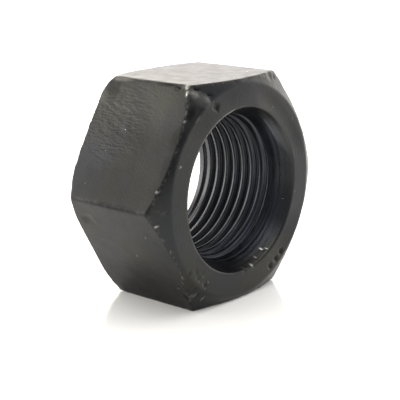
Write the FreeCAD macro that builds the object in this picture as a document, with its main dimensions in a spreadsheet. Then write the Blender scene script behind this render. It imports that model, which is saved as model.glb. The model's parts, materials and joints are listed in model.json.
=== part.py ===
import FreeCAD, Part
import math
import os
import Sketcher

# Hex nut, M20 x 1.5 fine thread, hot forged and blackened.
# Frame: millimetres, thread axis along Y, marked face towards -Y, +Z up.
# The nut stands on one of its flats. Origin: centre of the nut, on the thread axis.

os.makedirs("parts", exist_ok=True)
doc = FreeCAD.newDocument("HexNut")

drivingSizes = {
    "across_flats": 29.2,
    "nut_height": 15.5,
    "corner_round": 0.7,
    "thread_major": 20.0,
    "thread_minor": 18.376,
    "thread_pitch": 1.5,
    "thread_phase": 0.154,
    "thread_turns": 14,
    "face_chamfer_slope": 30,
    "front_face_circle": 28.0,
    "back_face_circle": 30.9,
    "front_countersink": 21.8,
    "back_countersink": 18.8,
    "mark_circle": 25.8,
    "mark_depth": 0.2,
    "diamond_angle": 115,
    "diamond_size": 1.4,
    "punch_angle": -57,
    "punch_step": 6,
    "punch_size": 0.9,
}

sheet = doc.addObject("Spreadsheet::Sheet", "Sizes")
for row, (alias, value) in enumerate(drivingSizes.items(), start=1):
    sheet.set(f"A{row}", alias)
    sheet.set(f"B{row}", str(value))
    sheet.setAlias(f"B{row}", alias)
doc.recompute()

body = doc.addObject("PartDesign::Body", "HexNutBody")
body.Label = "hex_nut"

# Sketcher's numbers for a sketch's own origin and axes, and for the ends of a line or an arc
origin = (-1, 1)
horizontalAxis = -1
verticalAxis = -2
startPoint = 1
endPoint = 2
centrePoint = 3


def planeSketch(name, role):
    """Start a sketch on one of the body's own origin planes."""
    sketch = body.newObject("Sketcher::SketchObject", name)
    plane = next(item for item in body.Origin.OriginFeatures if item.Role == role)
    sketch.AttachmentSupport = [(plane, "")]
    sketch.MapMode = "FlatFace"
    return sketch


def valueOf(sketch, formula):
    """The present value of a formula of sheet cells, as a plain number."""
    result = sketch.evalExpression(formula)
    return float(getattr(result, "Value", result))


def bindLast(sketch, kind, *geometry, formula):
    """Add a dimension and tie it to a formula of sheet cells."""
    index = sketch.addConstraint(Sketcher.Constraint(kind, *geometry, valueOf(sketch, formula)))
    sketch.setExpression(f"Constraints[{index}]", formula)


def outline(sketch, corners):
    """Draw a closed outline of straight lines, each corner placed by two formulas."""
    points = [FreeCAD.Vector(valueOf(sketch, x), valueOf(sketch, y), 0) for x, y in corners]
    lines = []
    for start, end in zip(points, points[1:] + points[:1]):
        lines.append(sketch.addGeometry(Part.LineSegment(start, end), False))
    for line, following in zip(lines, lines[1:] + lines[:1]):
        sketch.addConstraint(Sketcher.Constraint("Coincident", line, endPoint, following, startPoint))
    for line, (x, y) in zip(lines, corners):
        bindLast(sketch, "DistanceX", *origin, line, startPoint, formula=x)
        bindLast(sketch, "DistanceY", *origin, line, startPoint, formula=y)


def feature(kind, name, sketch, **settings):
    """Add a body feature made from a sketch, and work it out."""
    made = body.newObject(f"PartDesign::{kind}", name)
    made.Profile = sketch
    for key, value in settings.items():
        setattr(made, key, value)
    sketch.Visibility = False
    doc.recompute()
    return made


def turnedCut(name, corners):
    """Turn an outline of (along the axis, radius) corners about the thread axis and remove it."""
    sketch = planeSketch(f"{name}Profile", "YZ_Plane")
    outline(sketch, corners)
    return feature("Groove", name, sketch, ReferenceAxis=(sketch, ["H_Axis"]), Angle=360, Refine=False)


# Hexagon: a construction circle through six equal sides, with one corner on the X axis
cornerRadius = "Sizes.across_flats / 2 / cos(30)"
hexSketch = planeSketch("HexagonProfile", "XZ_Plane")
radius = valueOf(hexSketch, cornerRadius)
guide = hexSketch.addGeometry(Part.Circle(FreeCAD.Vector(0, 0, 0), FreeCAD.Vector(0, 0, 1), radius), True)
hexSketch.addConstraint(Sketcher.Constraint("Coincident", guide, centrePoint, *origin))
turn = FreeCAD.Rotation(FreeCAD.Vector(0, 0, 1), 60)
corner = FreeCAD.Vector(radius, 0, 0)
sides = []
for side in range(6):
    nextCorner = turn.multVec(corner)
    sides.append(hexSketch.addGeometry(Part.LineSegment(corner, nextCorner), False))
    corner = nextCorner
for side, following in zip(sides, sides[1:] + sides[:1]):
    hexSketch.addConstraint(Sketcher.Constraint("Coincident", side, endPoint, following, startPoint))
    hexSketch.addConstraint(Sketcher.Constraint("PointOnObject", following, startPoint, guide))
for side in sides[1:]:
    hexSketch.addConstraint(Sketcher.Constraint("Equal", sides[0], side))
hexSketch.addConstraint(Sketcher.Constraint("PointOnObject", sides[0], startPoint, horizontalAxis))
bindLast(hexSketch, "Radius", guide, formula=cornerRadius)

blank = feature("Pad", "HexagonBlank", hexSketch, Midplane=True)
blank.setExpression("Length", "Sizes.nut_height")
doc.recompute()

# Forging leaves the six long edges a little round
longEdges = []
for number, edge in enumerate(blank.Shape.Edges, start=1):
    direction = edge.Vertexes[1].Point - edge.Vertexes[0].Point
    if abs(direction.y) > 0.9 * direction.Length:
        longEdges.append(f"Edge{number}")
rounded = body.newObject("PartDesign::Fillet", "RoundedCorners")
rounded.Base = (blank, longEdges)
rounded.setExpression("Radius", "Sizes.corner_round")
doc.recompute()

# Chamfers: the marked face is chamfered all round, the back face only at its corners
frontFace = "-Sizes.nut_height / 2"
backFace = "Sizes.nut_height / 2"
clearOfCorners = "Sizes.across_flats"
slope = "tan(Sizes.face_chamfer_slope)"
turnedCut("FrontChamfer", [
    (frontFace, "Sizes.front_face_circle / 2"),
    (frontFace, clearOfCorners),
    (f"{frontFace} + (Sizes.across_flats - Sizes.front_face_circle / 2) * {slope}", clearOfCorners),
])
turnedCut("BackChamfer", [
    (backFace, "Sizes.back_face_circle / 2"),
    (backFace, clearOfCorners),
    (f"{backFace} - (Sizes.across_flats - Sizes.back_face_circle / 2) * {slope}", clearOfCorners),
])

# Bore at the thread's minor diameter, drawn as four quarter arcs
boreSketch = planeSketch("BoreProfile", "XZ_Plane")
boreRadius = valueOf(boreSketch, "Sizes.thread_minor / 2")
circle = Part.Circle(FreeCAD.Vector(0, 0, 0), FreeCAD.Vector(0, 0, 1), boreRadius)
quarterTurn = math.pi / 2
arcs = []
for number in range(4):
    arc = Part.ArcOfCircle(circle, number * quarterTurn, (number + 1) * quarterTurn)
    arcs.append(boreSketch.addGeometry(arc, False))
for arc, following in zip(arcs, arcs[1:] + arcs[:1]):
    boreSketch.addConstraint(Sketcher.Constraint("Coincident", arc, endPoint, following, startPoint))
for arc in arcs[:-1]:
    boreSketch.addConstraint(Sketcher.Constraint("Coincident", arc, centrePoint, *origin))
boreSketch.addConstraint(Sketcher.Constraint("Equal", arcs[0], arcs[-1]))
for arc, axis in zip(arcs, (horizontalAxis, verticalAxis, horizontalAxis, verticalAxis)):
    boreSketch.addConstraint(Sketcher.Constraint("PointOnObject", arc, startPoint, axis))
bindLast(boreSketch, "Radius", arcs[0], formula="Sizes.thread_minor / 2")
feature("Pocket", "Bore", boreSketch, Type="ThroughAll", Midplane=True, Refine=False)

# Internal thread: ISO 60 degree groove, P/8 wide at the major diameter and 3P/4 at the minor one.
# The cutter reaches P/10 inside the bore, along the same flanks.
overlap = "Sizes.thread_pitch / 10"
threadStart = "(Sizes.thread_phase - Sizes.thread_pitch * Sizes.thread_turns / 2)"
rootHalf = "Sizes.thread_pitch / 16"
mouthHalf = f"(Sizes.thread_pitch * 3 / 8 + {overlap} * tan(30))"
cutterTip = "Sizes.thread_major / 2"
cutterBase = f"Sizes.thread_minor / 2 - {overlap}"
threadSketch = planeSketch("ThreadProfile", "YZ_Plane")
outline(threadSketch, [
    (f"{threadStart} - {mouthHalf}", cutterBase),
    (f"{threadStart} - {rootHalf}", cutterTip),
    (f"{threadStart} + {rootHalf}", cutterTip),
    (f"{threadStart} + {mouthHalf}", cutterBase),
])
thread = feature("SubtractiveHelix", "Thread", threadSketch, ReferenceAxis=(threadSketch, ["H_Axis"]),
                 Mode="pitch-turns-angle", LeftHanded=False, Refine=False)
thread.setExpression("Pitch", "Sizes.thread_pitch")
thread.setExpression("Turns", "Sizes.thread_turns")
doc.recompute()

# 90 degree countersinks at both ends of the thread
sinkBase = "Sizes.thread_minor / 2 - Sizes.thread_pitch"
turnedCut("FrontCountersink", [
    (frontFace, sinkBase),
    (frontFace, "Sizes.front_countersink / 2"),
    (f"{frontFace} + Sizes.front_countersink / 2 - ({sinkBase})", sinkBase),
])
turnedCut("BackCountersink", [
    (backFace, sinkBase),
    (backFace, "Sizes.back_countersink / 2"),
    (f"{backFace} - Sizes.back_countersink / 2 + ({sinkBase})", sinkBase),
])


def faceSketch(name):
    """Start a sketch that lies on the marked face."""
    sketch = planeSketch(name, "XZ_Plane")
    sketch.setExpression("AttachmentOffset.Base.z", "Sizes.nut_height / 2")
    return sketch


# Stamped marks on the marked face: one diamond, and a row of three round punches
diamondSketch = faceSketch("DiamondMark")
markX = "Sizes.mark_circle / 2 * cos(Sizes.diamond_angle)"
markY = "Sizes.mark_circle / 2 * sin(Sizes.diamond_angle)"
outline(diamondSketch, [
    (f"{markX} - Sizes.diamond_size / 2", markY),
    (markX, f"{markY} - Sizes.diamond_size / 2"),
    (f"{markX} + Sizes.diamond_size / 2", markY),
    (markX, f"{markY} + Sizes.diamond_size / 2"),
])
diamond = feature("Pocket", "Diamond", diamondSketch, Refine=False)
diamond.setExpression("Length", "Sizes.mark_depth")

punchSketch = faceSketch("PunchMarks")
for place in (-1, 0, 1):
    angle = f"(Sizes.punch_angle + {place} * Sizes.punch_step)"
    x = f"Sizes.mark_circle / 2 * cos({angle})"
    y = f"Sizes.mark_circle / 2 * sin({angle})"
    centre = FreeCAD.Vector(valueOf(punchSketch, x), valueOf(punchSketch, y), 0)
    punchRadius = valueOf(punchSketch, "Sizes.punch_size / 2")
    punch = punchSketch.addGeometry(Part.Circle(centre, FreeCAD.Vector(0, 0, 1), punchRadius), False)
    bindLast(punchSketch, "DistanceX", *origin, punch, centrePoint, formula=x)
    bindLast(punchSketch, "DistanceY", *origin, punch, centrePoint, formula=y)
    bindLast(punchSketch, "Radius", punch, formula="Sizes.punch_size / 2")
punches = feature("Pocket", "Punches", punchSketch, Refine=False)
punches.setExpression("Length", "Sizes.mark_depth")
doc.recompute()

for item in doc.Objects:
    if "Invalid" in item.State or "Error" in item.State:
        raise RuntimeError(f"{item.Name} did not work out: {item.State}")
for piece in (body,):
    if piece.Shape.isNull() or not piece.Shape.isValid():
        raise RuntimeError(f"{piece.Label} is not a valid solid")
    piece.Shape.exportStep(f"parts/{piece.Label}.step")
    print(piece.Label, "volume", round(piece.Shape.Volume, 1), "solids", len(piece.Shape.Solids))
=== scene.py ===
import json
import math
import random
from functools import partial
import bpy
from mathutils import Matrix, Vector
from mathutils.kdtree import KDTree


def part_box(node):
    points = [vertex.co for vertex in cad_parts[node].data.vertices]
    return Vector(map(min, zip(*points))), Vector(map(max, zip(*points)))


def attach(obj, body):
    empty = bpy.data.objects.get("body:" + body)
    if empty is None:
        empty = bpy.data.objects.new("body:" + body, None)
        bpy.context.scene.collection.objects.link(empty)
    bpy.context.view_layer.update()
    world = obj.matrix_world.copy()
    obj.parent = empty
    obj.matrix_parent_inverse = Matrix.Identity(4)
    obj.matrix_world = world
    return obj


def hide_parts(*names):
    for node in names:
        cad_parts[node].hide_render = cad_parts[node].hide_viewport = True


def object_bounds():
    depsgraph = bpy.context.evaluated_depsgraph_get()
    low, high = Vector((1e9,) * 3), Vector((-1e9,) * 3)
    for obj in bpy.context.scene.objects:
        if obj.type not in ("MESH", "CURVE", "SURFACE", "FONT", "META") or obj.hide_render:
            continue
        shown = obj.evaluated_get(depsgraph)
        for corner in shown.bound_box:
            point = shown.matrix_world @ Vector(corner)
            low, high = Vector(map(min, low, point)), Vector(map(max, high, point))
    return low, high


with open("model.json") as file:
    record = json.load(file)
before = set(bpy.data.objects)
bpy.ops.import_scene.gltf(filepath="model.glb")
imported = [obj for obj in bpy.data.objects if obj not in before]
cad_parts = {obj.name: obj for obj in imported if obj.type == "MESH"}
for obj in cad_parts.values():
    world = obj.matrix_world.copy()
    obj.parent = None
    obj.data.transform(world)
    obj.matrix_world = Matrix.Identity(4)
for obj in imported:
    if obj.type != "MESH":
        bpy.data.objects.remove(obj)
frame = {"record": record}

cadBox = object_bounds()
mm = 0.001
noiseSpan = (0.35, 0.65)                # where most of a noise pattern's values lie
scene = bpy.context.scene
scene.view_settings.view_transform = "Standard"     # keeps the white studio white


def hexColour(text):
    # sRGB hex to linear RGBA
    parts = [int(text[i:i + 2], 16) / 255 for i in (1, 3, 5)]
    return [p / 12.92 if p <= 0.04045 else ((p + 0.055) / 1.055) ** 2.4 for p in parts] + [1.0]


def addNode(tree, kind, feeds=(), **settings):
    # one node, its settings, and what feeds its inputs: a node, a socket or a plain value
    node = tree.nodes.new(kind)
    for name, value in settings.items():
        setattr(node, name, value)
    pairs = feeds.items() if isinstance(feeds, dict) else enumerate(feeds)
    for key, feed in pairs:
        if isinstance(feed, bpy.types.Node):
            feed = next(socket for socket in feed.outputs if socket.enabled)
        if isinstance(feed, bpy.types.NodeSocket):
            tree.links.new(feed, node.inputs[key])
        elif feed is not None:
            node.inputs[key].default_value = feed
    return node


low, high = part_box("hex_nut")
threadMount = next(m for m in frame["record"]["mounts"] if m["name"] == "thread")
acrossFlats = high[2] - low[2]
nutHeight = high[1] - low[1]

nutSizes = {
    "Across Flats": acrossFlats,
    "Height": nutHeight,
    "Corner Softness": 0.45 * mm,
    "Edge Softness": 0.5 * mm,
    "Front Chamfer Slope": math.tan(math.radians(30)),
    "Back Chamfer Slope": math.tan(math.radians(34)),
    "Front Face Radius": 14.0 * mm,
    "Back Face Radius": 15.6 * mm,
    "Front Sink Radius": 10.9 * mm,
    "Front Sink Slope": 0.47,           # radius lost for each mm of depth
    "Back Sink Radius": 9.4 * mm,
    "Edge Fillet": 0.2 * mm,
    "Minor Radius": threadMount["dims"]["r_mm"] * mm,
    "Major Radius": 10.0 * mm,
    "Pitch": 1.5 * mm,
    "Thread Phase": 0.154 * mm,
    "Thread Fillet": 0.1 * mm,
    "Lead In": 2.5 * mm,                # how gently the countersink runs into the first crests
    "Run Out Start": 1.0 * mm,          # from here to the run-out's end the thread gets shallower
    "Run Out End": 7.2 * mm,
    "Run Out Sharpness": 5.0,
    "Wave Depth": 0.045 * mm,
    "Wave Size": 6.0 * mm,
    "Ripple Depth": 0.07 * mm,
    "Ripple Size": 1.1 * mm,
    "Chip Depth": 0.09 * mm,
    "Chip Size": 0.7 * mm,
    "Seed": 3.0,
}
nutCounts = {
    "Columns": 402,             # round the axis
    "Shell Rows": 128,          # from the front countersink, over the outside, to the back one
    "Pitch Rows": 10,           # rows in one turn of thread
    "Turns": 12,
}


def nutTree(material):
    tree = bpy.data.node_groups.new("hexNutShape", "GeometryNodeTree")
    for name, value in nutSizes.items():
        socket = tree.interface.new_socket(name, in_out="INPUT", socket_type="NodeSocketFloat")
        socket.default_value = value
    for name, value in nutCounts.items():
        socket = tree.interface.new_socket(name, in_out="INPUT", socket_type="NodeSocketInt")
        socket.default_value = value
    tree.interface.new_socket("Geometry", in_out="OUTPUT", socket_type="NodeSocketGeometry")
    given = tree.nodes.new("NodeGroupInput").outputs
    node = partial(addNode, tree)
    maths = "ShaderNodeMath"

    # a grid, rolled up round the Y axis: X counts rows, Y counts columns
    boreRows = node(maths, [given["Pitch Rows"], given["Turns"]], operation="MULTIPLY")
    allRows = node(maths, [given["Shell Rows"], boreRows], operation="ADD")
    grid = node("GeometryNodeMeshGrid", {
        "Size X": allRows,
        "Size Y": 1.0,
        "Vertices X": node(maths, [allRows, 1.0], operation="ADD"),
        "Vertices Y": node(maths, [given["Columns"], 1.0], operation="ADD"),
    })
    place = node("ShaderNodeSeparateXYZ", [node("GeometryNodeInputPosition")])
    row = node(maths, [allRows, 0.5, place.outputs["X"]], operation="MULTIPLY_ADD")
    row = node(maths, [row], operation="ROUND")
    evenAngle = node(maths, [place.outputs["Y"], math.tau, math.pi], operation="MULTIPLY_ADD")
    crowding = 0.3                      # columns crowd this much towards the six corners
    wobble = node(maths, [node(maths, [evenAngle, 6.0], operation="MULTIPLY")], operation="SINE")
    angle = node(maths, [wobble, -crowding / 6, evenAngle], operation="MULTIPLY_ADD")
    cosine = node(maths, [angle], operation="COSINE")
    sine = node(maths, [angle], operation="SINE")

    # outline of the blank as (along the axis, radius), starting inside the front countersink
    frontFace = node(maths, [given["Height"], -0.5], operation="MULTIPLY")
    backFace = node(maths, [given["Height"], 0.5], operation="MULTIPLY")
    grooveClearance = 0.09 * mm         # the countersink starts this far outside the grooves
    clearRadius = node(maths, [given["Major Radius"], grooveClearance], operation="ADD")
    frontSinkDepth = node(maths, [given["Front Sink Radius"], clearRadius], operation="SUBTRACT")
    frontSinkDepth = node(maths, [frontSinkDepth, given["Front Sink Slope"]], operation="DIVIDE")
    frontTrim = node(maths, [frontFace, frontSinkDepth], operation="ADD")
    frontTrimRadius = node(maths, [given["Minor Radius"], clearRadius, given["Lead In"]],
                           operation="SMOOTH_MAX")
    backSinkDepth = node(maths, [given["Back Sink Radius"], given["Minor Radius"]], operation="SUBTRACT")
    backTrim = node(maths, [backFace, backSinkDepth], operation="SUBTRACT")
    beyondCorners = 0.583               # of the width across flats; sharp corners would be at 0.577
    widest = node(maths, [given["Across Flats"], beyondCorners], operation="MULTIPLY")
    frontReach = node(maths, [widest, given["Front Face Radius"]], operation="SUBTRACT")
    frontChamfer = node(maths, [frontReach, given["Front Chamfer Slope"], frontFace],
                        operation="MULTIPLY_ADD")
    backReach = node(maths, [given["Back Face Radius"], widest], operation="SUBTRACT")
    backChamfer = node(maths, [backReach, given["Back Chamfer Slope"], backFace], operation="MULTIPLY_ADD")
    shellCorners = (
        (frontTrim, frontTrimRadius),
        (frontFace, given["Front Sink Radius"]),
        (frontFace, given["Front Face Radius"]),
        (frontChamfer, widest),
        (backChamfer, widest),
        (backFace, given["Back Face Radius"]),
        (backFace, given["Back Sink Radius"]),
        (backTrim, given["Minor Radius"]),
    )
    # one turn of thread, from the middle of one crest to the next, in parts of the pitch
    threadCorners = []
    for part, name in ((-1 / 2, "Minor Radius"), (-3 / 8, "Minor Radius"), (-1 / 16, "Major Radius"),
                       (1 / 16, "Major Radius"), (3 / 8, "Minor Radius"), (1 / 2, "Minor Radius")):
        threadCorners.append((node(maths, [given["Pitch"], part], operation="MULTIPLY"), given[name]))

    def samplePath(corners, fillet, factor):
        # the place at one part, 0 to 1, of a path through these corners, with its corners rounded
        filletPoints = 3
        choice = node("GeometryNodeIndexSwitch", data_type="VECTOR")
        while len(choice.index_switch_items) < len(corners):
            choice.index_switch_items.new()
        tree.links.new(node("GeometryNodeInputIndex").outputs[0], choice.inputs["Index"])
        for number, corner in enumerate(corners):
            tree.links.new(node("ShaderNodeCombineXYZ", corner).outputs[0], choice.inputs[number + 1])
        points = node("GeometryNodePoints", {"Count": len(corners), "Position": choice})
        path = node("GeometryNodeFilletCurve", {
            "Curve": node("GeometryNodePointsToCurves", [points]),
            "Count": filletPoints,
            "Radius": fillet,
            "Limit Radius": True,
        }, mode="POLY")
        sample = node("GeometryNodeSampleCurve", {"Curves": path, "Factor": factor}, mode="FACTOR")
        return node("ShaderNodeSeparateXYZ", [sample.outputs["Position"]]).outputs

    shellFactor = node(maths, [row, given["Shell Rows"]], operation="DIVIDE")
    shellFactor = node(maths, [shellFactor, 1.0], operation="MINIMUM")
    shell = samplePath(shellCorners, given["Edge Fillet"], shellFactor)

    # bore rows follow the helix and stop at the two trim circles
    step = node(maths, [allRows, row], operation="SUBTRACT")
    turnsDone = node(maths, [step, given["Pitch Rows"]], operation="DIVIDE")
    rounding = 0.01                     # keeps a whole number of turns whole
    turn = node(maths, [node(maths, [turnsDone, rounding], operation="ADD")], operation="FLOOR")
    within = node(maths, [turnsDone, turn], operation="SUBTRACT")
    thread = samplePath(threadCorners, given["Thread Fillet"], within)
    topStart = 1.25                     # turns, so that Thread Phase is where a groove crosses the top
    halfTurns = node(maths, [given["Turns"], -0.5, topStart], operation="MULTIPLY_ADD")
    drift = node(maths, [angle, -1 / math.tau, node(maths, [turn, halfTurns], operation="ADD")],
                 operation="MULTIPLY_ADD")
    centre = node(maths, [drift, given["Pitch"], given["Thread Phase"]], operation="MULTIPLY_ADD")
    threadAcross = node(maths, [centre, thread["X"]], operation="ADD")
    boreAcross = node("ShaderNodeClamp", [threadAcross, frontTrim, backTrim])
    runOut = node("ShaderNodeMapRange", [boreAcross, given["Run Out Start"], given["Run Out End"], 0.0, 1.0])
    grooveDepth = node(maths, [given["Minor Radius"], given["Major Radius"]], operation="SUBTRACT")
    fading = node(maths, [runOut, given["Run Out Sharpness"]], operation="POWER")
    threadRadius = node(maths, [fading, grooveDepth, thread["Y"]], operation="MULTIPLY_ADD")
    outOfFace = node(maths, [frontFace, boreAcross], operation="SUBTRACT")
    sinkRadius = node(maths, [outOfFace, given["Front Sink Slope"], given["Front Sink Radius"]],
                      operation="MULTIPLY_ADD")
    funnelRadius = node(maths, [given["Minor Radius"], sinkRadius, given["Lead In"]], operation="SMOOTH_MAX")
    boreRadius = node(maths, [threadRadius, funnelRadius], operation="MAXIMUM")

    lastShellRow = node(maths, [given["Shell Rows"], 0.5], operation="ADD")
    inBore = node(maths, [row, lastShellRow], operation="GREATER_THAN")
    across = node("GeometryNodeSwitch", [inBore, shell["X"], boreAcross], input_type="FLOAT")
    blankRadius = node("GeometryNodeSwitch", [inBore, shell["Y"], boreRadius], input_type="FLOAT")

    # the hexagon: distance out to the nearest flat and to the next one, blended at the corner
    fold = node(maths, [angle, math.pi / 6], operation="SUBTRACT")
    fold = node(maths, [fold, math.pi / 6], operation="PINGPONG")
    halfFlats = node(maths, [given["Across Flats"], 0.5], operation="MULTIPLY")
    nearFlat = node(maths, [halfFlats, node(maths, [fold], operation="COSINE")], operation="DIVIDE")
    farFold = node(maths, [math.pi / 3, fold], operation="SUBTRACT")
    nextFlat = node(maths, [halfFlats, node(maths, [farFold], operation="COSINE")], operation="DIVIDE")
    hexRadius = node(maths, [nearFlat, nextFlat, given["Corner Softness"]], operation="SMOOTH_MIN")
    # the chamfer's edge wanders between crisp and soft, as parts of Edge Softness
    wanderSize = 1.4 * mm
    crispest, softest = 0.35, 1.5
    drum = node("ShaderNodeCombineXYZ", [node(maths, [halfFlats, cosine], operation="MULTIPLY"), across,
                                         node(maths, [halfFlats, sine], operation="MULTIPLY")])
    wander = node("ShaderNodeTexNoise", {"Vector": drum, "W": given["Seed"], "Scale": 1 / wanderSize},
                  noise_dimensions="4D")
    softening = node("ShaderNodeMapRange", [wander, *noiseSpan, crispest, softest])
    edgeSoftness = node(maths, [given["Edge Softness"], softening], operation="MULTIPLY")
    radius = node(maths, [blankRadius, hexRadius, edgeSoftness], operation="SMOOTH_MIN")
    rolled = node("ShaderNodeCombineXYZ", [node(maths, [radius, cosine], operation="MULTIPLY"), across,
                                           node(maths, [radius, sine], operation="MULTIPLY")])

    # what the finish needs to know about each place
    chamferBand = 0.4 * mm              # how far from an edge the wear reaches
    cornerBand = 0.8 * mm
    cornerWear = 0.25                   # the long corners wear less than the chamfer's edge
    sinkShine = 0.6                     # the countersink is less bright than the bore
    crestBand = 0.1 * mm
    chamferGap = node(maths, [blankRadius, hexRadius], operation="SUBTRACT")
    chamferGap = node(maths, [chamferGap], operation="ABSOLUTE")
    cornerGap = node(maths, [nextFlat, nearFlat], operation="SUBTRACT")
    nearChamfer = node("ShaderNodeMapRange", [chamferGap, 0.0, chamferBand, 1.0, 0.0])
    nearCorner = node("ShaderNodeMapRange", [cornerGap, 0.0, cornerBand, cornerWear, 0.0])
    outside = node(maths, [blankRadius, given["Front Face Radius"]], operation="GREATER_THAN")
    edgeWear = node(maths, [node(maths, [nearChamfer, nearCorner], operation="MAXIMUM"), outside],
                    operation="MULTIPLY")
    # machined marks where the bore's colour goes, with its painted light lift: in full in the bore, in part
    # in the countersink
    inFront = node(maths, [across, 0.0], operation="LESS_THAN")
    inSink = node("ShaderNodeMapRange",
                  [blankRadius, given["Front Sink Radius"], clearRadius, 0.0, sinkShine])
    machined = node(maths, [inFront, inSink], operation="MULTIPLY")
    machined = node(maths, [machined, inBore], operation="MAXIMUM")
    crestEnd = node(maths, [given["Minor Radius"], crestBand], operation="ADD")
    onCrest = node("ShaderNodeMapRange", [boreRadius, crestEnd, given["Minor Radius"], 0.0, 1.0])
    crest = node(maths, [onCrest, inBore], operation="MULTIPLY")
    shaped = grid
    for name, value in (("edgeWear", edgeWear), ("machined", machined), ("crest", crest)):
        shaped = node("GeometryNodeStoreNamedAttribute", {"Geometry": shaped, "Name": name, "Value": value},
                      data_type="FLOAT", domain="POINT")
    shaped = node("GeometryNodeSetPosition", {"Geometry": shaped, "Position": rolled})
    weldDistance = 0.002 * mm
    shaped = node("GeometryNodeMergeByDistance", {"Geometry": shaped, "Distance": weldDistance})

    # forging leaves slow waves, ripples drawn out along the axis in one patch, and chipped edges
    ripplePlace = (-11.2 * mm, 4.0 * mm, 8.5 * mm)
    fadesFrom, fadesTo = 2.0 * mm, 6.5 * mm
    ripplesLeft = 0.04                  # outside the patch
    forgedShare = 1.25                  # of the countersink's radius; from there out the face is as forged
    position = node("GeometryNodeInputPosition")
    normal = node("GeometryNodeInputNormal")
    alongAxis = (1.0, 0.4, 1.0)         # the ripples are two and a half times as long this way
    drawnOut = node("ShaderNodeVectorMath", [position, alongAxis], operation="MULTIPLY")
    unevenness = []
    for vector, sizeName, depthName, start, end in (
            (position, "Wave Size", "Wave Depth", 0.25, 0.75),
            (drawnOut, "Ripple Size", "Ripple Depth", 0.3, 0.7),
            (position, "Chip Size", "Chip Depth", 0.5, 0.8)):
        pattern = node("ShaderNodeTexNoise", {
            "Vector": vector,
            "W": given["Seed"],
            "Scale": node(maths, [1.0, given[sizeName]], operation="DIVIDE"),
        }, noise_dimensions="4D")
        unevenness.append(node("ShaderNodeMapRange", [pattern, start, end, 0.0, given[depthName]]))
    waves, ripples, chips = unevenness
    fromPatch = node("ShaderNodeVectorMath", [position, ripplePlace], operation="DISTANCE").outputs["Value"]
    ripplePatch = node("ShaderNodeMapRange", [fromPatch, fadesFrom, fadesTo, 1.0, ripplesLeft])
    ripples = node(maths, [ripples, ripplePatch], operation="MULTIPLY")
    edge = node("GeometryNodeInputNamedAttribute", {"Name": "edgeWear"}, data_type="FLOAT")
    chips = node(maths, [chips, node(maths, [edge, 2.0], operation="POWER")], operation="MULTIPLY")
    flattened = node("ShaderNodeVectorMath", [position, (1.0, 0.0, 1.0)], operation="MULTIPLY")
    fromAxis = node("ShaderNodeVectorMath", [flattened], operation="LENGTH").outputs["Value"]
    forgedFrom = node(maths, [given["Front Sink Radius"], forgedShare], operation="MULTIPLY")
    forged = node("ShaderNodeMapRange", [fromAxis, given["Front Sink Radius"], forgedFrom, 0.0, -1.0])
    depth = node(maths, [node(maths, [waves, ripples], operation="ADD"), chips], operation="ADD")
    inward = node("ShaderNodeVectorMath", {
        "Vector": normal,
        "Scale": node(maths, [depth, forged], operation="MULTIPLY"),
    }, operation="SCALE")
    shaped = node("GeometryNodeSetPosition", {"Geometry": shaped, "Offset": inward})
    shaped = node("GeometryNodeSetShadeSmooth", [shaped])
    shaped = node("GeometryNodeRealizeInstances", [shaped])
    shaped = node("GeometryNodeSetMaterial", {"Geometry": shaped, "Material": material})
    node("NodeGroupOutput", [shaped])
    return tree


steelLook = {
    "cool": "#353638",
    "warm": "#383835",
    # lighter than the faces: bluish machined steel, lifted as painted light standing in for the light bounced
    # round inside the bore
    "bore": "#414349",
    "crest": "#595a5b",
    "worn": "#5a5955",
    "soot": "#1a1b1d",
    "bare": "#d0cdc4",
    "dust": "#d9d7cf",
    "roughness": (0.34, 0.4),
    "cloudSize": 8.0 * mm,
    "mottleSize": 1.6 * mm,
    "grainSize": 0.32 * mm,
    "fleckSize": 0.5 * mm,
    "fleckRange": (0.5, 0.7),           # of the noise, from no fleck to a full one
    "sootRange": (0.52, 0.66),
    "edgeSoot": 0.5,                    # at most
    "dustSpacing": 1.7 * mm,
    "dustChance": 0.55,                 # the share of cells left clean
    "dustSize": 0.05,                   # of the spacing, at most
    "wrinkleSize": 0.34 * mm,           # across a wrinkle
    "wrinkleStretch": (1.0, 0.33, 1.0),     # they run three times as far along the axis
    "wrinklePlace": (-10.8 * mm, 4.0 * mm, 9.0 * mm),
    "wrinkleFade": (2.5 * mm, 7.0 * mm),
    "wrinkleRelief": (4.0, 0.08),       # in the patch and outside it
    "grainRelief": 0.75,
    "mottleRelief": 0.4,
    "ringRelief": 0.5,
    "lineSpacing": 0.3 * mm,
    "bumpDepth": 0.03 * mm,
    "crestPolish": -0.1,                # change of roughness
    "barePolish": -0.15,
    "seed": 3.0,
}


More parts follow.
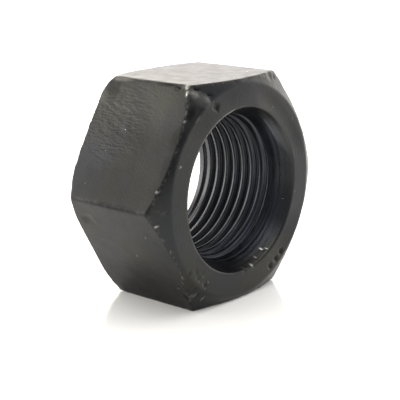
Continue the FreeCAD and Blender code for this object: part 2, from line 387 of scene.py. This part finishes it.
def blackOxideSteel(look):
    # hot-forged steel, blackened and lightly oiled: nearly black with a soft satin gloss, cool where the
    # oxide is thick, warmer where it is thin, paler where edges have rubbed, and bluish where it was
    # machined;
    # the bore's colour is also lighter, painted light standing in for light bounced round inside it, and
    # the marks paint in some highlights and shade
    material = bpy.data.materials.new("blackOxideSteel")
    material.use_nodes = True
    tree = material.node_tree
    node = partial(addNode, tree)
    maths = "ShaderNodeMath"
    shader = tree.nodes["Principled BSDF"]
    place = node("ShaderNodeTexCoord").outputs["Object"]
    known = {}
    for name in ("edgeWear", "machined", "crest", "bare", "soot", "tone"):
        known[name] = node("ShaderNodeAttribute", attribute_name=name).outputs["Fac"]
    noises = {}
    for name, size, detail in (("cloud", look["cloudSize"], 1.0), ("mottle", look["mottleSize"], 3.0),
                               ("grain", look["grainSize"], 2.0), ("fleck", look["fleckSize"], 1.0)):
        noises[name] = node("ShaderNodeTexNoise", {
            "Vector": place,
            "W": look["seed"],
            "Scale": 1 / size,
            "Detail": detail,
        }, noise_dimensions="4D")

    # dust: a few pale specks, each in its own cell
    cells = node("ShaderNodeTexVoronoi", {"Vector": place, "Scale": 1 / look["dustSpacing"]})
    chance = node("ShaderNodeSeparateColor", [cells.outputs["Color"]])
    speckSize = node("ShaderNodeMapRange", [chance, look["dustChance"], 1.0, 0.0, look["dustSize"]])
    dust = node(maths, [cells.outputs["Distance"], speckSize], operation="LESS_THAN")

    # fine rings left by the tool, in the bore and the countersink
    parts = node("ShaderNodeSeparateXYZ", [place])
    flat = node("ShaderNodeCombineXYZ", [parts.outputs["X"], 0.0, parts.outputs["Z"]])
    fromAxis = node("ShaderNodeVectorMath", [flat], operation="LENGTH").outputs["Value"]
    turns = node(maths, [node(maths, [fromAxis, math.tau / look["lineSpacing"]], operation="MULTIPLY")],
                 operation="SINE")
    rings = node(maths, [turns, node(maths, [known["machined"], noises["mottle"]], operation="MULTIPLY")],
                 operation="MULTIPLY")

    flecked = node("ShaderNodeMapRange", [noises["fleck"], *look["fleckRange"], 0.0, 1.0])
    worn = node(maths, [flecked, known["edgeWear"]], operation="MULTIPLY")
    # dark: soot in blotches along the worn edges, plus the marks' dark weight, which in places is painted
    # shade
    sooty = node("ShaderNodeMapRange", [noises["mottle"], *look["sootRange"], 0.0, look["edgeSoot"]])
    sooty = node(maths, [node(maths, [sooty, known["edgeWear"]], operation="MULTIPLY"), known["soot"]],
                 operation="ADD", use_clamp=True)
    thinScale = node("ShaderNodeMapRange", [noises["cloud"], *noiseSpan, 0.0, 1.0])

    colour = node("ShaderNodeMix", {0: thinScale, 6: hexColour(look["cool"]), 7: hexColour(look["warm"])},
                  data_type="RGBA")
    # the marks' pale weight is bare steel and in places a painted highlight
    for amount, name in ((known["machined"], "bore"), (known["crest"], "crest"), (worn, "worn"),
                         (sooty, "soot"), (known["bare"], "bare"), (dust, "dust")):
        colour = node("ShaderNodeMix", {0: amount, 6: colour, 7: hexColour(look[name])}, data_type="RGBA")
    # the marks' tone weight lightens or darkens the colour, in places as painted light and painted shade
    toned = node("ShaderNodeHueSaturation", {"Color": colour,
                                             "Value": node(maths, [known["tone"], 1.0], operation="ADD")})
    tree.links.new(toned.outputs[0], shader.inputs["Base Color"])
    metal = node(maths, [1.0, dust], operation="SUBTRACT")
    tree.links.new(metal.outputs[0], shader.inputs["Metallic"])
    gloss = node("ShaderNodeMapRange", [noises["mottle"], *noiseSpan, *look["roughness"]])
    rubbed = node(maths, [known["crest"], look["crestPolish"], gloss], operation="MULTIPLY_ADD")
    rubbed = node(maths, [known["bare"], look["barePolish"], rubbed], operation="MULTIPLY_ADD")
    tree.links.new(rubbed.outputs[0], shader.inputs["Roughness"])

    # wrinkles drawn out along the axis, where the hot bar was rolled
    drawnOut = node("ShaderNodeVectorMath", [place, look["wrinkleStretch"]], operation="MULTIPLY")
    wrinkles = node("ShaderNodeTexNoise", {
        "Vector": drawnOut,
        "Scale": 1 / look["wrinkleSize"],
        "Detail": 2.0,
    })
    patch = node("ShaderNodeVectorMath", [place, look["wrinklePlace"]], operation="DISTANCE")
    patchy = node("ShaderNodeMapRange",
                  [patch.outputs["Value"], *look["wrinkleFade"], *look["wrinkleRelief"]])
    wrinkled = node(maths, [wrinkles, patchy], operation="MULTIPLY")

    relief = node(maths, [noises["grain"], look["grainRelief"], wrinkled], operation="MULTIPLY_ADD")
    relief = node(maths, [noises["mottle"], look["mottleRelief"], relief], operation="MULTIPLY_ADD")
    relief = node(maths, [rings, look["ringRelief"], relief], operation="MULTIPLY_ADD")
    bump = node("ShaderNodeBump", {"Height": relief, "Distance": look["bumpDepth"], "Strength": 1.0})
    tree.links.new(bump.outputs[0], shader.inputs["Normal"])
    return material


def markAt(angle, y, r, **rest):
    # one mark, pressed in (or raised, where deep is negative) round one place: angle round the axis in
    # degrees from +X towards +Z, the rest in mm. It runs from its place to "to", or else is "long" and
    # "wide" about it, turned by "lean" from the axis (on a face, from straight out). The bare-steel and
    # dark weights are 0 to 1; the tone weight makes the oxide lighter or darker by that part. Some marks
    # use these weights as painted highlight, painted light and painted shade
    return {"angle": angle, "y": y, "r": r, **rest}


def rimMarks(angles, y, r, **rest):
    # strokes in a row round the countersink's rim, long enough to overlap
    strokeTurn = 10                     # degrees
    return [markAt(angle, y, r, to=(angle + strokeTurn, y, r), **rest) for angle in angles]


# the nut's own knocks and stamped marks
nutMarks = [
    # one diamond, and a row of three punches
    markAt(115, -7.75, 12.9, long=0.75, wide=0.75, deep=0.2, shape="diamond", soot=0.35),
    *(markAt(angle, -7.75, 12.9, long=0.5, wide=0.5, deep=0.2, shape="punch", soot=0.35)
      for angle in (-63, -57, -51)),
    # the knocked corner: slots, a bright burr, a smeared patch and the shade beside it
    markAt(119.6, -6.3, 16.5, to=(117.4, -6.8, 15.65), wide=0.24, deep=0.3, soot=1.0),
    markAt(116.9, -7.2, 14.95, to=(114.0, -7.55, 14.35), wide=0.17, deep=0.22, soot=1.0),
    markAt(121.2, -4.1, 16.65, to=(121.0, -5.1, 16.7), wide=0.3, deep=0.3, soot=1.0),
    markAt(120.6, -0.8, 16.7, to=(120.9, -4.6, 16.7), wide=0.16, deep=0.1, soot=0.9),
    markAt(119.4, -5.4, 16.75, to=(121.8, -6.1, 16.55), wide=0.2, deep=-0.12, bare=1.0),
    markAt(121.8, -6.0, 16.55, to=(124.2, -6.2, 16.2), wide=0.18, deep=-0.12, bare=0.9),
    markAt(122.6, -6.5, 16.0, to=(119.2, -7.5, 14.2), wide=1.2, deep=-0.14, tone=1.6),
    markAt(121.6, -6.7, 15.8, long=0.7, wide=0.7, deep=-0.1, bare=0.12),
    markAt(118.5, -7.4, 14.6, long=0.8, wide=0.6, deep=-0.08, bare=0.05),
    markAt(126.0, -7.2, 15.0, to=(134.0, -7.4, 14.7), wide=0.7, tone=-0.55),
    markAt(126.7, -7.7, 14.06, to=(132.3, -7.75, 13.95), wide=0.13, bare=0.1),
    markAt(135.2, -7.1, 15.05, long=0.16, wide=0.16, deep=0.05, bare=0.8),
    # the back of the upper left flat, spread a little by the forging
    markAt(148, 7.2, 14.6, long=10, wide=8.8, deep=-0.42),
    markAt(126, 6.9, 15.9, long=1.9, wide=2.2, deep=-0.3),
    markAt(120.6, 5.4, 16.7, long=2.4, wide=0.5, deep=0.1, bare=0.14),
    # the two back corners that took knocks
    markAt(119, 7.5, 16.5, long=1.3, wide=1.0, deep=0.1),
    markAt(240, 7.5, 16.4, long=1.4, wide=1.4, deep=0.22),
    # pits and scabs, lower down
    markAt(219, -7.75, 13.75, long=0.35, wide=0.3, deep=0.14, soot=0.7),
    markAt(234, -7.75, 13.3, long=0.6, wide=0.5, deep=0.14, soot=0.5),
    markAt(233, -7.1, 15.05, long=0.4, wide=0.2, deep=0.1, bare=0.25),
    markAt(239, -7.2, 14.8, long=0.5, wide=0.2, deep=-0.06, bare=0.3),
    markAt(156, -7.75, 13.3, long=0.25, wide=0.15, deep=0.08, bare=0.3),
    markAt(170, -6.7, 15.5, long=0.45, wide=0.14, deep=0.1, lean=20, bare=0.6),
    markAt(186, -6.8, 15.6, long=0.35, wide=0.2, deep=0.12, bare=0.5),
    markAt(189.5, 5.6, 15.0, long=1.5, wide=0.9, deep=0.08, lean=30, soot=0.5),
    # chatter on the countersink, low on the right: small dents whose pale bare steel also stands in for
    # glints, as painted highlight
    markAt(299, -7.0, 10.2, long=0.4, wide=0.2, deep=0.15, bare=1.0),
    markAt(301, -7.3, 10.5, long=0.25, wide=0.12, deep=0.1, bare=0.9),
    markAt(281, -7.5, 10.7, long=0.4, wide=0.25, deep=0.12, bare=0.5),
    markAt(289, -7.2, 10.3, long=0.4, wide=0.15, deep=0.15, bare=0.25),
    markAt(272, -7.5, 10.6, long=0.6, wide=0.25, deep=0.12, soot=0.4),
    # where the countersink's rim was never crisp
    markAt(44, -7.75, 10.9, long=1.8, wide=7.5, deep=0.3),
    markAt(44, -6.6, 10.3, long=2.4, wide=6.5, tone=1.2),
    # the upper right corner of the chamfer, darkened as painted shade where it catches a bright reflection,
    # and scabbed
    markAt(72, -7.1, 15.0, long=1.6, wide=3.2, tone=-0.55),
    markAt(65, -6.9, 15.4, long=0.9, wide=0.9, deep=0.1, soot=0.6),
    markAt(61.5, -6.8, 15.7, long=0.5, wide=0.4, deep=0.1, soot=0.7),
    # the left corner, sooty along its length
    markAt(180, -1, 16.7, long=6.5, wide=0.6, soot=0.5),
    # lighter and darker patches: the upper left flat lightened as painted light, the lower left flat darkened
    # towards the floor as painted shade, and painted shade on the chamfer along the front of the upper left
    # flat, on the top of the front face and in the countersink's lower left; the rest are simply lighter or
    # darker
    markAt(129, 2, 15.6, long=11, wide=6.5, tone=0.8),
    markAt(145, 4, 14.6, long=9, wide=6, tone=0.35),
    markAt(173, 0, 15.8, long=9, wide=3.5, tone=-0.12),
    markAt(234, 0, 15.2, long=12, wide=6.5, tone=-0.75),
    markAt(223, -5, 15.0, long=4, wide=4, tone=-0.15),
    markAt(145, -7.0, 15.2, long=1.4, wide=2.5, tone=-0.3),
    markAt(158, -7.0, 15.2, long=1.4, wide=2.5, tone=-0.3),
    markAt(170, -7.0, 15.4, long=1.8, wide=2.0, tone=-0.2),
    markAt(124, -7.75, 12.7, long=2.5, wide=4, tone=-0.2),
    markAt(96, -7.75, 13.2, long=2.5, wide=4, tone=-0.2),
    markAt(321, -7.75, 13.2, long=3, wide=5, tone=-0.45),
    markAt(199, -7.75, 12.4, long=2.5, wide=5, tone=0.13),
    markAt(225, -7.2, 10.6, long=1.2, wide=3.5, tone=-0.3),
    markAt(248, -7.2, 10.6, long=1.2, wide=3.5, tone=-0.3),
]
# the countersink's rim: paler along the top as a painted highlight, darker along the bottom as painted shade
nutMarks += rimMarks(range(98, 148, 4), -7.72, 10.95, wide=0.16, bare=0.3)
nutMarks += rimMarks(range(184, 264, 5), -7.7, 10.9, wide=0.3, soot=0.7)

scatterPlan = {
    "seed": 11,
    "wornAbove": 0.6,                   # of edgeWear
    "plainBelow": 0.05,                 # of edgeWear and machined
    "edgeKnocks": (70, 0.36),           # how many, and the biggest in mm
    "facePits": (90, 0.24),
    "scabs": (34, 0.42),
    "scabPlace": (229, -7.5, 14.2),
    "scabReach": 2.4 * mm,
    "size": (0.3, 1.0),                 # of the biggest
    "width": (0.6, 1.0),                # of the size
    "depth": 0.2,
    "finish": (0.03, 0.18),
}


def polar(angle, y, r):
    # a place from its angle round the axis, in degrees, and two sizes in mm
    turned = math.radians(angle)
    return Vector((r * math.cos(turned), y, r * math.sin(turned))) * mm


def scatterMarks(mesh, plan):
    # small chance knocks along the worn edges, on the open faces, and crowded in one scabbed place
    chooser = random.Random(plan["seed"])
    wear = mesh.attributes["edgeWear"].data
    machined = mesh.attributes["machined"].data
    edges = [v.index for v in mesh.vertices if wear[v.index].value > plan["wornAbove"]]
    faces = [v.index for v in mesh.vertices
             if max(wear[v.index].value, machined[v.index].value) < plan["plainBelow"]]
    marks = []
    scabPlace = polar(*plan["scabPlace"])
    scabs = [v.index for v in mesh.vertices if (v.co - scabPlace).length < plan["scabReach"]]
    for group, name in ((edges, "edgeKnocks"), (faces, "facePits"), (scabs, "scabs")):
        count, biggest = plan[name]
        for index in chooser.sample(group, count):
            spot = mesh.vertices[index].co
            size = biggest * chooser.uniform(*plan["size"])
            finish = chooser.choice(("bare", "soot", "soot", "soot", "soot"))
            marks.append({
                "angle": math.degrees(math.atan2(spot.z, spot.x)),
                "y": spot.y / mm,
                "r": math.hypot(spot.x, spot.z) / mm,
                "long": size,
                "wide": size * chooser.uniform(*plan["width"]),
                "deep": size * plan["depth"],
                "lean": chooser.uniform(0, 180),
                finish: chooser.uniform(*plan["finish"]),
            })
    return marks


def workMarks(mesh, marks):
    # presses the marks in, and records where they leave the steel bare, sooty, paler or darker, some of it
    # painted highlight and painted shade
    diamondWalls = 4                    # the higher, the steeper a mark's walls and the flatter its floor
    punchWalls = 3
    onFace = 0.8                        # a normal this far along the axis belongs to a face
    reach = 1.1                         # how far out points are looked at, in parts of the mark's size
    finder = KDTree(len(mesh.vertices))
    for vertex in mesh.vertices:
        finder.insert(vertex.co, vertex.index)
    finder.balance()
    normals = [vertex.normal.copy() for vertex in mesh.vertices]
    moves = {}
    finish = {name: [0.0] * len(mesh.vertices) for name in ("bare", "soot", "tone")}
    for mark in marks:
        start = polar(mark["angle"], mark["y"], mark["r"])
        end = polar(*mark["to"]) if "to" in mark else start
        spot, index, _ = finder.find((start + end) / 2)
        normal = normals[index]
        straight = polar(mark["angle"], 0, 1) if abs(normal.y) > onFace else Vector((0, 1, 0))
        straight = (straight - normal * straight.dot(normal)).normalized()
        lean = math.radians(mark.get("lean", 0))
        longWay = straight * math.cos(lean) + normal.cross(straight) * math.sin(lean)
        long = mark.get("long", 0) * mm
        if "to" in mark:
            run = end - start
            longWay = (run - normal * run.dot(normal)).normalized()
            long = run.length / 2 + mark["wide"] * mm / 2
        wideWay = normal.cross(longWay)
        wide = mark["wide"] * mm
        deep = mark.get("deep", 0) * mm
        for place, number, _ in finder.find_range(spot, reach * max(long, wide)):
            offset = place - spot
            facing = normals[number].dot(normal) * 3 - 0.5
            facing = min(1.0, max(0.0, facing))             # a mark stays on its own side
            u = abs(offset.dot(longWay)) / long
            v = abs(offset.dot(wideWay)) / wide
            if mark.get("shape") == "diamond":
                inside = min(1.0, max(0.0, (1 - u - v) * diamondWalls))
            elif mark.get("shape") == "punch":
                inside = min(1.0, max(0.0, (1 - math.hypot(u, v)) * punchWalls))
            else:
                inside = max(0.0, 1 - u * u - v * v) ** 1.5
            inside *= facing
            if inside > 0:
                moves[number] = moves.get(number, Vector()) - normal * (deep * inside)
                for name, values in finish.items():
                    values[number] = max(values[number], mark.get(name, 0) * inside, key=abs)
    for number, move in moves.items():
        mesh.vertices[number].co += move
    # nothing stands out past the CAD's box
    for vertex in mesh.vertices:
        vertex.co = [min(max(part, least), most) for part, least, most in zip(vertex.co, low, high)]
    for name, values in finish.items():
        mesh.attributes.new(name, "FLOAT", "POINT").data.foreach_set("value", values)


steel = blackOxideSteel(steelLook)
holder = bpy.data.objects.new("nutBlank", bpy.data.meshes.new("nutBlank"))
scene.collection.objects.link(holder)
modifier = holder.modifiers.new("shape", "NODES")
modifier.node_group = nutTree(steel)
for socket in modifier.node_group.interface.items_tree:
    if socket.in_out == "INPUT":
        modifier[socket.identifier] = (nutSizes | nutCounts)[socket.name]
depsgraph = bpy.context.evaluated_depsgraph_get()
nutMesh = bpy.data.meshes.new_from_object(holder.evaluated_get(depsgraph))
bpy.data.objects.remove(holder)
nut = bpy.data.objects.new("forged_hex_nut", nutMesh)
scene.collection.objects.link(nut)
triangles = sum(len(p.vertices) - 2 for p in nutMesh.polygons)
print("nut blank:", len(nutMesh.vertices), "points,", triangles, "triangles")
workMarks(nutMesh, scatterMarks(nutMesh, scatterPlan) + nutMarks)
print("marks pressed in")
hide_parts("hex_nut")
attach(nut, "root")

floorLook = {
    "halfWidth": 3.0,
    "colour": "#f2f2f0",
    "roughness": 0.14,
    "glow": "#fffaf2",
    "glowStrength": 0.14,
    "ior": 1.45,
}
floorZ = cadBox[0][2]
corners = [(x * floorLook["halfWidth"], y * floorLook["halfWidth"], floorZ)
           for x, y in ((-1, -1), (1, -1), (1, 1), (-1, 1))]
floorMesh = bpy.data.meshes.new("floor")
floorMesh.from_pydata(corners, [], [(0, 1, 2, 3)])
floor = bpy.data.objects.new("floor", floorMesh)
scene.collection.objects.link(floor)
floorMaterial = bpy.data.materials.new("glossyWhiteFloor")
floorMaterial.use_nodes = True
floorShader = floorMaterial.node_tree.nodes["Principled BSDF"]
floorShader.inputs["Base Color"].default_value = hexColour(floorLook["colour"])
floorShader.inputs["Roughness"].default_value = floorLook["roughness"]
floorShader.inputs["IOR"].default_value = floorLook["ior"]
floorShader.inputs["Emission Color"].default_value = hexColour(floorLook["glow"])
floorShader.inputs["Emission Strength"].default_value = floorLook["glowStrength"]
floorMesh.materials.append(floorMaterial)

studioLight = {
    "towards": (0.45, 0.89, 0.0),       # the side the bright sweep stands on
    "sides": (-0.7, 0.35),              # where the sweep starts and is full, as cosines from that side
    "heights": (0.35, 0.75),            # where the sweep starts to fade and is gone, as sines of elevation
    "bright": 3.1,
    "dim": 0.5,
    "overhead": 0.5,
    "ceiling": 3.0,                     # a soft panel straight above
    "ceilingEdge": (0.75, 0.92),        # as sines of elevation
    "warm": "#fffaf4",
    "cool": "#f7faff",
}


def whiteStudio(light):
    # a bright sweep low down on one side, and a dimmer, cooler room round the rest
    world = bpy.data.worlds.new("whiteStudio")
    world.use_nodes = True
    tree = world.node_tree
    node = partial(addNode, tree)
    direction = node("ShaderNodeTexCoord").outputs["Generated"]
    facing = node("ShaderNodeVectorMath", [direction, light["towards"]], operation="DOT_PRODUCT")
    side = node("ShaderNodeMapRange", [facing.outputs["Value"], *light["sides"], 0.0, 1.0],
                interpolation_type="SMOOTHSTEP")
    height = node("ShaderNodeSeparateXYZ", [direction]).outputs["Z"]
    rising = node("ShaderNodeMapRange", [height, *light["heights"], 0.0, 1.0],
                  interpolation_type="SMOOTHSTEP")
    level = node("ShaderNodeMapRange", [side, 0.0, 1.0, light["dim"], light["bright"]])
    strength = node("ShaderNodeMapRange", [rising, 0.0, 1.0, level, light["overhead"]])
    panel = node("ShaderNodeMapRange", [height, *light["ceilingEdge"], 0.0, 1.0],
                 interpolation_type="SMOOTHSTEP")
    strength = node("ShaderNodeMapRange", [panel, 0.0, 1.0, strength, light["ceiling"]])
    tint = node("ShaderNodeMix", {0: side, 6: hexColour(light["cool"]), 7: hexColour(light["warm"])},
                data_type="RGBA")
    background = tree.nodes["Background"]
    tree.links.new(strength.outputs[0], background.inputs["Strength"])
    tree.links.new(tint.outputs[2], background.inputs["Color"])
    return world


scene.world = whiteStudio(studioLight)
print("floor and studio light ready")

cameraFit = {
    "azimuth": math.radians(-49.294),
    "elevation": math.radians(14.661),
    "roll": math.radians(-0.355),
    "lens": 105.47,
    "distance": 5.3505 * acrossFlats,
    "slideRight": 0.0083 * acrossFlats,
    "slideUp": -0.0832 * acrossFlats,
    "clipStart": 0.01,
}


def placeCamera(fit):
    # the camera stands off from the origin and looks back at it, slid across its own view and rolled a little
    az, el, roll = fit["azimuth"], fit["elevation"], fit["roll"]
    back = Vector((math.sin(az) * math.cos(el), -math.cos(az) * math.cos(el), math.sin(el)))
    right = Vector((math.cos(az), math.sin(az), 0))
    up = back.cross(right)
    place = back * fit["distance"] + right * fit["slideRight"] + up * fit["slideUp"]
    tiltedRight = right * math.cos(roll) + up * math.sin(roll)
    tiltedUp = up * math.cos(roll) - right * math.sin(roll)
    data = bpy.data.cameras.new("camera")
    data.lens = fit["lens"]
    data.clip_start = fit["clipStart"]
    camera = bpy.data.objects.new("camera", data)
    turn = Matrix((tiltedRight, tiltedUp, back)).transposed().to_4x4()
    camera.matrix_world = Matrix.Translation(place) @ turn
    scene.collection.objects.link(camera)
    scene.camera = camera


placeCamera(cameraFit)
